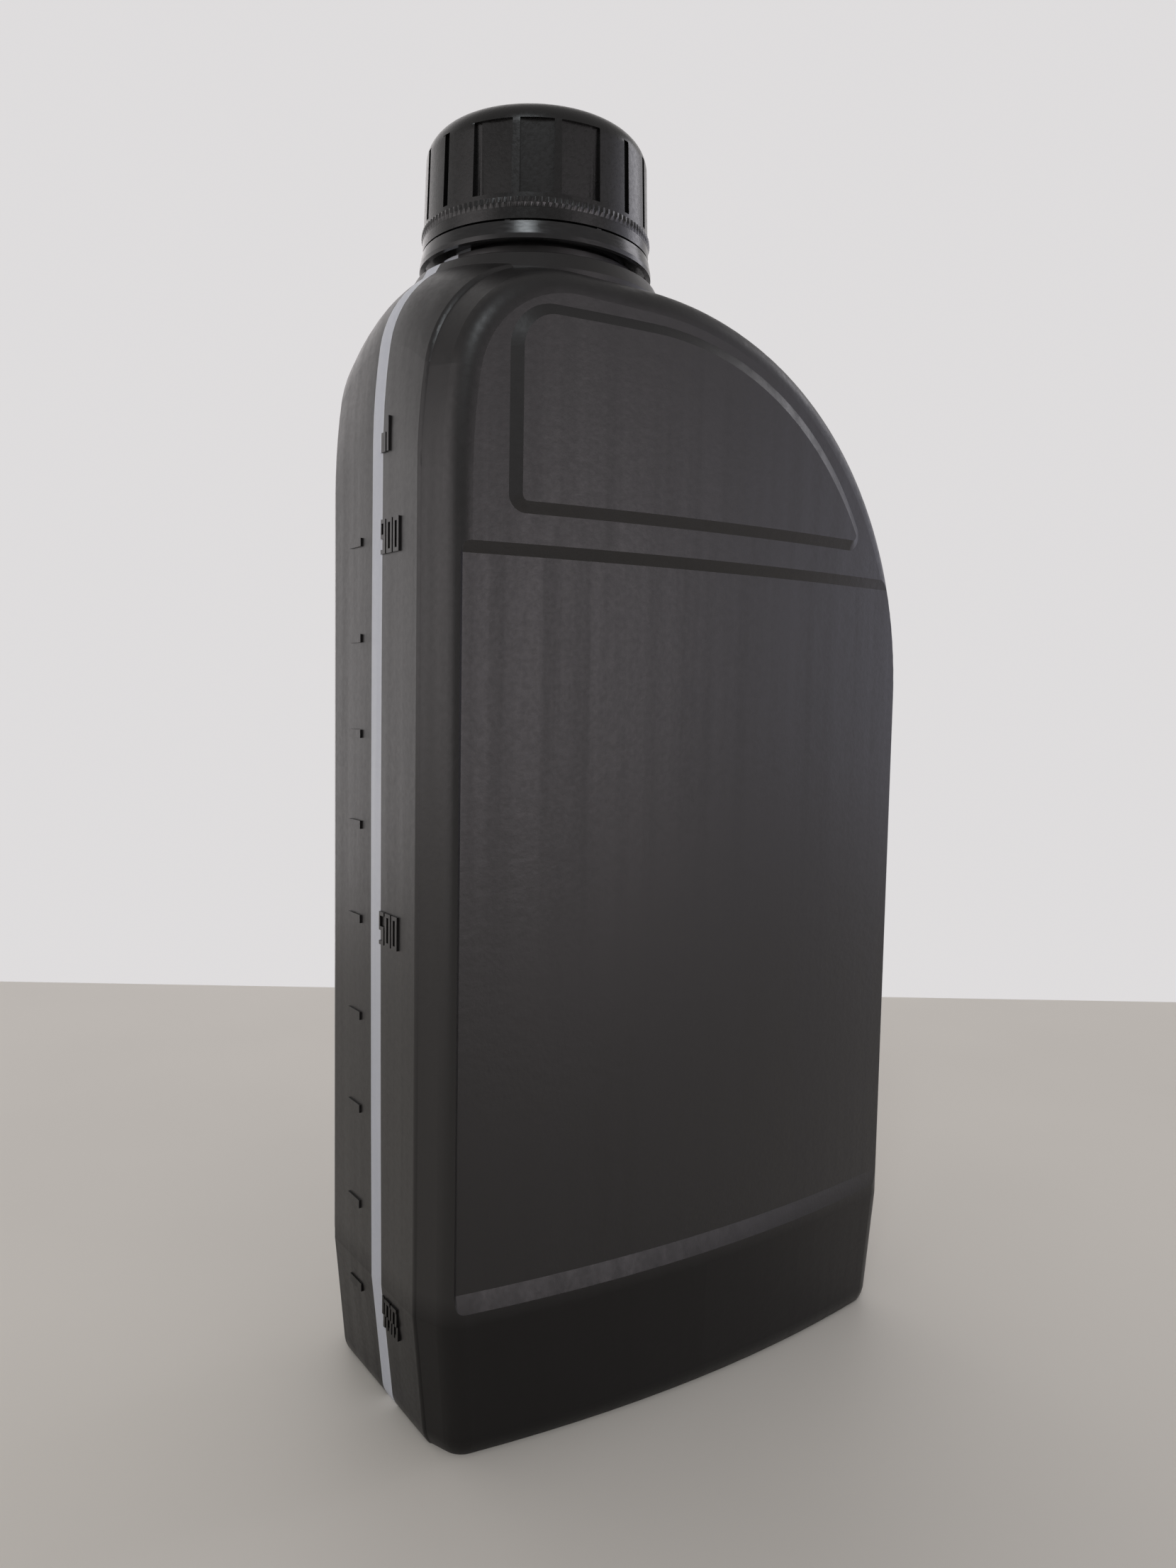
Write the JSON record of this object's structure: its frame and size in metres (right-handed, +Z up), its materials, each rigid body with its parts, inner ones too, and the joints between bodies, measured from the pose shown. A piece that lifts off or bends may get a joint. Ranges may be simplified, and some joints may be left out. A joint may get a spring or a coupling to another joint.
{
  "type": "motor oil bottle",
  "caption": "One-litre blow-moulded oil bottle with a view stripe and graduations, a ribbed screw cap, a sealing wad and a tamper band.",
  "frame": {"origin": "centre of the base at mid width, on the surface that the bottle stands on", "axes": "+Z up along the neck, +X toward the round shoulder and away from the view stripe, -Y toward the front label face"},
  "size_m": [0.1119, 0.0622, 0.2342],
  "materials": {
    "body_plastic": "satin black polyethylene with a fine leathery moulding texture",
    "stripe_plastic": "translucent natural polyethylene, bluish white",
    "cap_plastic": "smooth semi-gloss black polypropylene",
    "liner_foam": "fine-celled white foam"
  },
  "bodies": {
    "body": {"bottle": "body_plastic", "view_stripe": "stripe_plastic", "tamper_band": "cap_plastic"},
    "liner": {"cap_liner": "liner_foam"},
    "cap": {"cap": "cap_plastic"}
  },
  "joints": [
    {"name": "cap_lift", "type": "slide", "parent": "body", "child": "liner", "axis": [0, 0, 1], "range_m": [0, 0.02]},
    {"name": "cap_turn", "type": "hinge", "parent": "liner", "child": "cap", "pos_m": [-0.02305, 0, 0.22], "axis": [0, 0, 1], "range_deg": [0, 1800]}
  ],
  "couplings": [
    {"joint": "cap_lift", "follows": "cap_turn", "m_per_rad": 0.00063662}
  ]
}
